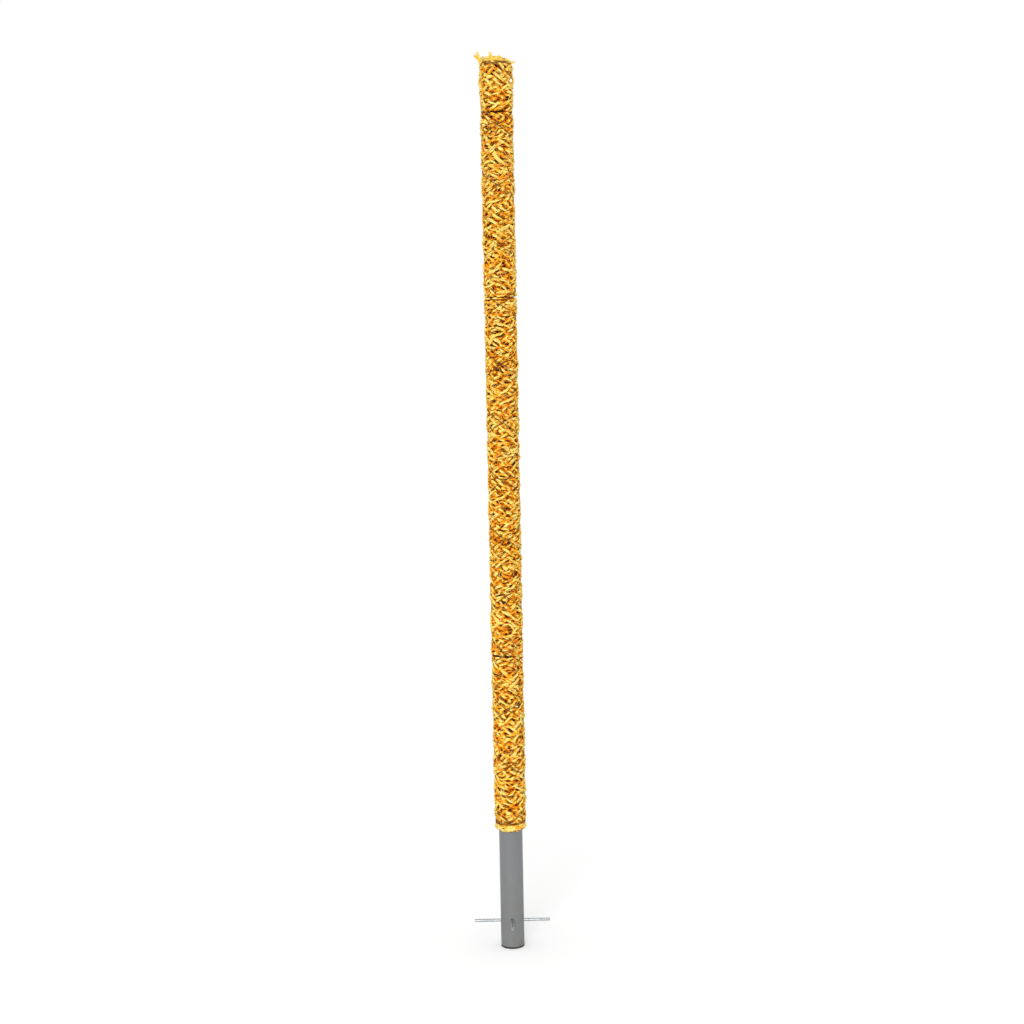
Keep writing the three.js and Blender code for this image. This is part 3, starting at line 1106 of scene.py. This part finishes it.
@dataclass
class FootAndCore:
    """The tube that carries the coir, its end plugs and the rods through its foot."""

    shape: PoleShape
    wall: float = 0.002
    edge: float = 0.0004
    lead_in: Span = (0.0008, 0.0012)  # depth and height of the plug's chamfer
    rod_chamfer: float = 0.0008
    hole_clearance: float = 0.0003
    tube_sides: int = 96
    rod_sides: int = 40
    rods: tuple[tuple[str, Axis], ...] = (("anchor_rod_lower", Axis.X), ("anchor_rod_upper", Axis.Y))

    def build(self) -> None:
        """Makes the finer round pieces and dresses them and the hidden plug."""
        tube_material = TubeFinish().material()
        steel = SteelFinish().material()
        plug = PlugFinish().material()
        settled(smoothed(self.tube(), tube_material), "tube_plastic", "core_tube")
        settled(smoothed(self.foot_plug(), plug), "plug_plastic", "foot_bung")
        for node, axis in self.rods:
            settled(smoothed(self.rod(node, axis), steel), "rod_steel", node)
        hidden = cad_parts["top_bung"].data.materials
        hidden.clear()
        hidden.append(plug)

    def tube(self) -> Object:
        """Makes the tube, eased at its ends and drilled for the rods."""
        low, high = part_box("core_tube")
        inside = high.x - self.wall
        profile = [(inside, low.z), *eased(high.x, low.z, high.z, self.edge), (inside, high.z)]
        tube = lathe("tube", profile, self.tube_sides)
        drills = [self.drill(node, axis) for node, axis in self.rods]
        for drill in drills:
            cut = tube.modifiers.new("hole", "BOOLEAN")
            cut.object = drill
            cut.solver = "EXACT"
        tube = evaluated(tube)
        for drill in drills:
            bpy.data.objects.remove(drill)
        return tube

    def drill(self, node: str, axis: Axis) -> Object:
        """Makes the body that a rod's holes are cut with."""
        low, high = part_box(node)
        radius = (high.z - low.z) / 2 + self.hole_clearance
        half = self.shape.tube_radius * 2
        profile = [(0, -half), (radius, -half), (radius, half), (0, half)]
        return lathe(f"{node}_drill", profile, self.rod_sides, axis, (low.z + high.z) / 2)

    def rod(self, node: str, axis: Axis) -> Object:
        """Makes a rod with chamfered ends."""
        low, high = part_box(node)
        radius = (high.z - low.z) / 2
        half = max(high.x, high.y)
        profile = [(0, -half), *eased(radius, -half, half, self.rod_chamfer), (0, half)]
        return lathe(f"{node}_bar", profile, self.rod_sides, axis, (low.z + high.z) / 2)

    def foot_plug(self) -> Object:
        """Makes the plug that the pole stands on, with an eased flange and a hollow spigot."""
        low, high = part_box("foot_bung")
        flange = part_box("core_tube")[0].z
        bore = high.x - self.wall - self.hole_clearance
        lead_depth, lead_height = self.lead_in
        profile = [
            (0, low.z),
            *eased(high.x, low.z, flange, self.edge),
            (bore, flange),
            (bore, high.z - lead_height),
            (bore - lead_depth, high.z),
            (bore - self.wall, high.z),
            (bore - self.wall, flange),
            (0, flange),
        ]
        return lathe("foot_plug", profile, self.tube_sides)


@dataclass
class CoirMat:
    """One coir mat: its felted backing, painted near-black as the shade between the locks, the locks on it
    and the fibres that stand off it.
    """

    number: int
    low: float
    high: float
    shape: PoleShape
    work: CoirWork
    full_height: float = 0.300  # of a mat that has the full number of locks
    edge_gap: float = 0.0015  # between the locks and a mat's edge
    rim_gap: float = 0.0060  # between the locks and the rim
    rim_inset: float = 0.012  # of the backing under the rim
    columns: int = 72
    row_height: float = 0.004
    backing_inside: float = 0.0004
    backing_share: float = 0.5  # how far the backing follows the coir's swell
    lump: float = 0.0009
    lump_spacing: float = 6.0  # in heights of a lump
    seed_step: int = 100  # between the seeds of two mats
    # The under locks get dark tones and the crowns pale ones: painted shade deep in the coir and painted
    # light on its top.
    under: CoirLayer = CoirLayer(
        locks=600, fibres=5, steps=3, shortest=0.018, longest=0.032, lock_width=0.0044,
        bearing=math.radians(40), bearing_spread=math.radians(30), deepest=0.20, highest=0.52,
        dip=0.0008, fray=0.0, darkest=0.02, lightest=0.42, depth_tone=0.5,
    )
    locks: CoirLayer = CoirLayer()
    crowns: CoirLayer = CoirLayer(
        locks=580, fibres=8, steps=6, shortest=0.016, longest=0.026, lock_width=0.0043,
        fibre_radius=0.00068, bearing=math.radians(26), bearing_spread=math.radians(15), roundness=0.30,
        deepest=0.92, highest=1.16, dip=0.0070, wander=0.005, darkest=0.80, lightest=1.14,
        per_turn=10.5, weave=0.009,
    )
    stray: CoirLayer = CoirLayer(
        locks=800, fibres=1, steps=7, shortest=0.014, longest=0.040, lock_width=0.0004,
        fibre_radius=0.00028, bearing_spread=math.radians(70), deepest=0.85, highest=1.15, dip=0.0012,
        fray=0.0036, bow=0.010, wander=0.012, darkest=0.5, lightest=1.0,
    )

    @property
    def node(self) -> str:
        """The construction node that the mat stands for."""
        return f"coir_mat_{self.number}"

    @property
    def at_rim(self) -> bool:
        """Whether the mat's upper edge is the pole's rim."""
        return self.high == self.shape.rim

    def build(self, backing: Material) -> None:
        """Makes the mat's pieces and dresses them."""
        base = self.backing()
        base.data.materials.append(backing)
        settled(base, "coir", self.node)
        share = (self.high - self.low) / self.full_height
        low, high = self.low + self.edge_gap, self.high - (self.rim_gap if self.at_rim else self.edge_gap)
        for order, kind in enumerate(("under", "locks", "crowns", "stray")):
            layer: CoirLayer = getattr(self, kind)
            sized = replace(layer, locks=round(layer.locks * share))
            seed = self.seed_step * self.number + order
            settled(self.work.layer(f"{self.node}_{kind}", sized, low, high, seed), "coir", self.node)

    def backing(self) -> Object:
        """Makes the closed, lumpy body under the locks."""
        top = self.high - (self.rim_inset if self.at_rim else 0.0)
        rows = max(2, round((self.high - self.low) / self.row_height))
        heights = np.linspace(self.low, top, rows + 1)
        angles = np.arange(self.columns) * FULL_TURN / self.columns
        angle, z = np.meshgrid(angles, heights)
        swell = self.shape.radius(angle, z) - self.shape.pressed_radius
        radius = self.shape.core_radius + larger(swell, 0.0) * self.backing_share
        points = np.stack((radius * np.sin(angle), -radius * np.cos(angle), z), axis=-1).reshape(-1, 3)
        lump_width = self.lump_spacing * self.lump
        lumps = np.array([noise.noise(Vector(point) / lump_width) for point in points])
        stretch = 1.0 + larger(lumps, 0.0) * self.lump / radius.reshape(-1)
        points[:, :2] *= stretch[:, None]
        inside = self.shape.tube_radius + self.backing_inside
        ring = np.stack((inside * np.sin(angles), -inside * np.cos(angles), np.zeros_like(angles)), axis=-1)
        points = np.concatenate((points, *(ring + (0.0, 0.0, height) for height in (top, self.low))))
        rings = rows + 3
        faces = []
        for lower in range(rings):
            row, above = lower * self.columns, (lower + 1) % rings * self.columns
            for i in range(self.columns):
                j = (i + 1) % self.columns
                faces.append((row + i, row + j, above + j, above + i))
        mesh = bpy.data.meshes.new(f"{self.node}_backing")
        mesh.from_pydata(points.tolist(), [], faces)
        mesh.polygons.foreach_set("use_smooth", [True] * len(faces))
        return linked(mesh.name, mesh)


@dataclass(frozen=True)
class Tuft:
    """Fibres that stand off the coir, bent from a root over a middle to a tip.

    Each of the three places is an angle from the front in degrees, a distance from the axis and a
    height under the rim.
    """

    rooted: Point
    over: Point
    tip: Point
    fibres: int
    spread: float


@dataclass
class CoirEnds:
    """The frayed rim and lower edge of the coir, the wad in the rim and the tufts that stand off."""

    shape: PoleShape
    work: CoirWork
    strand_work: StrandWork
    rim_reach: Span = (-0.0095, -0.0025)  # lowest and highest fibres, from the rim
    collar_reach: Span = (-0.007, 0.012)  # from the top tie
    foot_reach: Span = (-0.001, 0.0085)  # from the lower edge
    wad_reach: float = 0.0222
    rim_seed: int = 31
    foot_seed: int = 32
    wad_seed: int = 33
    collar_seed: int = 34
    fringe: CoirLayer = CoirLayer(
        locks=190, steps=7, shortest=0.010, longest=0.020, lock_width=0.0034, bearing=math.radians(30),
        bearing_spread=math.radians(34), deepest=0.45, highest=1.05, dip=0.0006, fray=0.0030,
        bow=0.0030, darkest=0.20, ragged=0.0030,
    )
    collar: CoirLayer = CoirLayer(
        locks=13, steps=9, shortest=0.012, longest=0.019, lock_width=0.0026, bearing=math.radians(34),
        bearing_spread=math.radians(24), deepest=0.95, highest=1.05, dip=0.0034, wander=0.006,
        lift=0.0024, darkest=0.45, lightest=0.80, per_turn=1.9,
    )
    wad: CoirLayer = CoirLayer(
        locks=340, bearing_spread=math.radians(90), deepest=0.7, highest=1.0, lightest=0.85,
    )
    tuft_seed: int = 5
    tuft_path_seed: int = 7
    tuft_steps: int = 8
    tuft_reach: Span = (0.75, 1.05)  # how far its fibres go towards a tuft's tip
    tuft_fibre: StrandSizes = StrandSizes(
        plies=1, spacing=0.0025, lay_radius=0.0, ply_radius=0.00052, taper=0.5, tone=0.84,
        tone_spread=0.14,
    )
    tufts: tuple[Tuft, ...] = (
        Tuft((-72, 0.0245, 0.011), (-82, 0.0270, 0.005), (-88, 0.0338, -0.0050), 28, 0.0030),
        Tuft((-64, 0.0250, 0.009), (-74, 0.0272, 0.002), (-82, 0.0312, -0.0080), 18, 0.0024),
        Tuft((-12, 0.0245, 0.008), (-15, 0.0262, 0.000), (-22, 0.0262, -0.0035), 22, 0.0032),
        Tuft((72, 0.0245, 0.013), (82, 0.0280, 0.0095), (91, 0.0310, 0.0080), 12, 0.0020),
        Tuft((-80, 0.0245, 0.0330), (-90, 0.0305, 0.0395), (-98, 0.0245, 0.0480), 22, 0.0034),
        Tuft((82, 0.0250, 0.0285), (88, 0.0318, 0.0385), (94, 0.0248, 0.0485), 9, 0.0014),
        Tuft((150, 0.0240, 0.009), (158, 0.0265, 0.001), (170, 0.0300, -0.0060), 14, 0.0026),
    )

    def build(self, coir: Material) -> None:
        """Makes the pieces of both ends and dresses them."""
        rim, tie, foot = self.shape.rim, self.shape.top_tie, self.shape.foot_edge
        top_mat = f"coir_mat_{len(self.shape.joints) + 1}"
        bands = (
            ("coir_rim_fringe", self.fringe, rim, self.rim_reach, self.rim_seed, top_mat),
            ("coir_collar", self.collar, tie, self.collar_reach, self.collar_seed, top_mat),
            ("coir_foot_fringe", self.fringe, foot, self.foot_reach, self.foot_seed, "coir_mat_1"),
        )
        for name, layer, level, (under, over), seed, node in bands:
            settled(self.work.layer(name, layer, level + under, level + over, seed), "coir", node)
        wad = self.work.layer("coir_wad_fibres", self.wad, 0.0, self.wad_reach, self.wad_seed, Ground.DOME)
        settled(wad, "coir", "coir_top_wad")
        paths = self.tuft_paths()
        tufts = self.strand_work.strands("coir_tufts", paths, self.tuft_fibre, coir, self.tuft_seed)
        settled(tufts, "coir", top_mat)

    def tuft_paths(self) -> list[list[Vector]]:
        """Works out the path of every fibre in the tufts."""
        draw = np.random.default_rng(self.tuft_path_seed)
        paths = []
        for tuft in self.tufts:
            ends = []
            for degrees, radius, below in (tuft.rooted, tuft.over, tuft.tip):
                ends.append(self.shape.place(math.radians(degrees), radius, self.shape.rim - below))
            for _ in range(tuft.fibres):
                shifts = [Vector(draw.normal(0.0, tuft.spread / 2, 3)) for _ in ends]
                a, b, c = (end + shift for end, shift in zip(ends, shifts))
                reach = draw.uniform(*self.tuft_reach)
                shares = [reach * i / self.tuft_steps for i in range(self.tuft_steps + 1)]
                paths.append([a * (1 - s) ** 2 + b * 2 * s * (1 - s) + c * s * s for s in shares])
        return paths


class Hand(Enum):
    """The way a twine winds: the right-hand one climbs to the right in front."""

    RIGHT = 1
    LEFT = -1


@dataclass
class Binding:
    """One of the two twines, wound along the pole, tied off in close turns and knotted at the back."""

    hand: Hand
    shape: PoleShape
    strand_work: StrandWork
    seed: int = 3  # to which the hand is added
    steps_per_turn: int = 96
    crossing_width: float = 0.075  # in turns, as are the next two
    first_crossing: float = 0.25  # nearer to a tie the twine isn't lifted
    tuck: float = 0.06  # of the free end
    slack: float = 0.0021  # of the twine over the dent
    sink: float = 0.0028  # of the free end into the coir
    knot_size: float = 0.0011
    knot_stand: float = 3.0  # off the coir, in radii of the twine
    knot_steps: int = 48
    tails: tuple[Span, ...] = ((-2.6, 0.019), (4.2, 0.026))  # aside in knot sizes, and length
    tail_bend: float = 1.9  # how far round a tail bends, in radians
    tail_back: float = 1.2  # how far back it starts, in knot sizes
    tail_steps: int = 8

    @property
    def node(self) -> str:
        """The construction node that the twine stands for."""
        return f"binding_twine_{self.hand.name.lower()}"

    @property
    def tied_at_top(self) -> bool:
        """Whether the twine's tie is the one at the top."""
        return self.hand is Hand.LEFT

    def build(self, twine: Material) -> None:
        """Makes the twine with its knot and dresses it."""
        paths = [self.winding(), self.knot()]
        seed = self.hand.value + self.seed
        piece = self.strand_work.strands(f"{self.node}_laid", paths, StrandSizes(), twine, seed)
        settled(piece, "twine", self.node)

    def spot(self, turns: float, lift: float = 0.0) -> Vector:
        """The middle of the twine after a number of turns down from the top tie."""
        held = min(max(turns, 0.0), float(self.shape.binding_turns))
        z = self.shape.top_tie - held * self.shape.pitch - (turns - held) * self.shape.tie_step
        angle = -self.hand.value * turns * FULL_TURN
        return self.shape.place(angle, self.shape.twine_path_radius + lift, z)

    def winding(self) -> list[Vector]:
        """Works out the twine's path, which rises where it crosses over the other one."""
        turns = float(self.shape.binding_turns)
        tie = self.shape.tie_turns
        first, last = (-tie, turns + self.tuck) if self.tied_at_top else (-self.tuck, turns + tie)
        count = round((last - first) * self.steps_per_turn)
        path = []
        for i in range(count + 1):
            turn = first + (last - first) * i / count
            off_crossing = abs(turn * 2 - round(turn * 2)) / 2
            near = max(0.0, 1.0 - off_crossing / self.crossing_width)
            crosses = self.first_crossing < turn < turns - self.first_crossing
            over = self.tied_at_top and crosses
            lift = self.shape.crossing_lift * near * near * (3 - 2 * near) if over else 0.0
            spot = self.spot(turn, lift)
            angle = math.atan2(spot.x, -spot.y)
            slack = float(self.shape.dent(np.array(angle), np.array(spot.z)))
            free_end = (turn - turns if self.tied_at_top else -turn) / self.tuck
            sunk = self.sink * min(max((free_end + 1.0) / 2.0, 0.0), 1.0)
            path.append(self.spot(turn, lift + self.slack * slack * slack - sunk))
        return path

    def knot(self) -> list[Vector]:
        """Works out the path of the knot that ends the tie, with its two tails."""
        turns, tie = self.shape.binding_turns, self.shape.tie_turns
        end = -tie if self.tied_at_top else turns + tie
        middle = self.spot(end, self.shape.twine_radius * self.knot_stand)
        middle.z += self.shape.tie_step * (-1.0 if self.tied_at_top else 1.0)
        size = self.knot_size
        loop = []  # a trefoil, which is the path of an overhand knot
        for i in range(self.knot_steps + 1):
            t = math.pi * (1.0 + 2.0 * i / self.knot_steps)
            across = math.sin(t) + 2 * math.sin(2 * t)
            up = math.cos(t) - 2 * math.cos(2 * t)
            loop.append(Vector((across, -math.sin(3 * t), up)) * size)
        ends = []
        for aside, length in self.tails:
            tail = []
            for i in range(1, self.tail_steps + 1):
                s = i / self.tail_steps
                back = math.copysign(size * self.tail_back * (1 - s), aside)
                out = aside * size * math.sin(s * self.tail_bend)
                tail.append(loop[0] + Vector((out, back, -length * s * s)))
            ends.append(tail)
        return [middle + point for point in ends[0][::-1] + loop[1:-1] + ends[1]]


@dataclass
class Studio:
    """The plain pale floor, the soft light and the camera."""

    eye: Point = (0.0, -2.97, 1.08)
    aim: Point = (0.01265, 0.0, 0.75184)
    lens: float = 62.54
    sensor: float = 36.0
    roll: float = math.radians(-1.102)
    ambient: float = 0.85
    key_strength: float = 1.7
    key_angle: float = math.radians(30)
    key_from: Point = (-0.15, -1.0, 0.40)
    floor_half: float = 40.0
    floor_colour: Colour = (0.82, 0.82, 0.82)
    floor_glow: float = 0.17

    def build(self) -> None:
        """Makes the camera, the lamp, the world and the floor."""
        self.camera()
        self.lamp()
        self.world()
        self.floor()
        bpy.context.scene.view_settings.view_transform = "Standard"

    def camera(self) -> None:
        """Sets the camera at the photograph's viewing angle."""
        data = bpy.data.cameras.new("camera")
        data.lens = self.lens
        data.sensor_width = self.sensor
        camera = linked("camera", data)
        gaze = (Vector(self.aim) - Vector(self.eye)).to_track_quat("-Z", "Y").to_matrix().to_4x4()
        camera.matrix_world = Matrix.Translation(self.eye) @ gaze @ Matrix.Rotation(self.roll, 4, "Z")
        bpy.context.scene.camera = camera

    def lamp(self) -> None:
        """Sets one broad lamp in front, somewhat above and a little to the left."""
        data = bpy.data.lights.new("key", "SUN")
        data.energy = self.key_strength
        data.angle = self.key_angle
        key = linked("key", data)
        key.rotation_euler = Vector(self.key_from).to_track_quat("Z", "Y").to_euler()

    def sees_backdrop(self, g: Graph) -> Field:
        """1 for rays that show the background itself, or its mirror image, and 0 for rays that light."""
        path = g.node("ShaderNodeLightPath")
        share = Field(g, path.outputs["Is Camera Ray"])
        for name in ("Is Glossy Ray", "Is Transmission Ray"):
            share = larger(share, Field(g, path.outputs[name]))
        return share

    def world(self) -> None:
        """Sets a world that shows white and lights softly."""
        world = bpy.data.worlds.new("studio")
        bpy.context.scene.world = world
        g = Graph(emptied(world))
        strength = self.sees_backdrop(g) * (1.0 - self.ambient) + self.ambient
        sky = g.field("ShaderNodeBackground", 0, {"Color": (1.0, 1.0, 1.0, 1.0), "Strength": strength})
        g.node("ShaderNodeOutputWorld", {"Surface": sky})

    def floor(self) -> None:
        """Makes the floor, which shows white but for the pole's shadow."""
        half = self.floor_half
        mesh = bpy.data.meshes.new("floor")
        corners = [(-half, -half, 0), (half, -half, 0), (half, half, 0), (-half, half, 0)]
        mesh.from_pydata(corners, [], [(0, 1, 2, 3)])
        material = bpy.data.materials.new("floor")
        g = Graph(emptied(material))
        matt = g.field("ShaderNodeBsdfDiffuse", 0, {"Color": (*self.floor_colour, 1.0)})
        glow = g.field("ShaderNodeEmission", 0, {"Strength": self.sees_backdrop(g) * self.floor_glow})
        both = g.field("ShaderNodeAddShader", 0, {0: matt, 1: glow})
        g.node("ShaderNodeOutputMaterial", {"Surface": both})
        mesh.materials.append(material)
        linked("floor", mesh)


def main() -> None:
    """Builds the studio and the pole's sub-assemblies in order."""
    logging.basicConfig(level=logging.INFO, format="%(name)s: %(message)s")
    Studio().build()
    shape = PoleShape.from_frame()
    coir, twine, backing = COIR.material(), TWINE.material(), BackingFinish().material()
    coir_work, strand_work = CoirWork(shape, coir), StrandWork()
    FootAndCore(shape).build()
    edges = (shape.foot_edge, *shape.joints, shape.rim)
    for number, (low, high) in enumerate(zip(edges, edges[1:]), start=1):
        CoirMat(number, low, high, shape, coir_work).build(backing)
    CoirEnds(shape, coir_work, strand_work).build(coir)
    for hand in Hand:
        Binding(hand, shape, strand_work).build(twine)


if __name__ == "__main__":
    main()
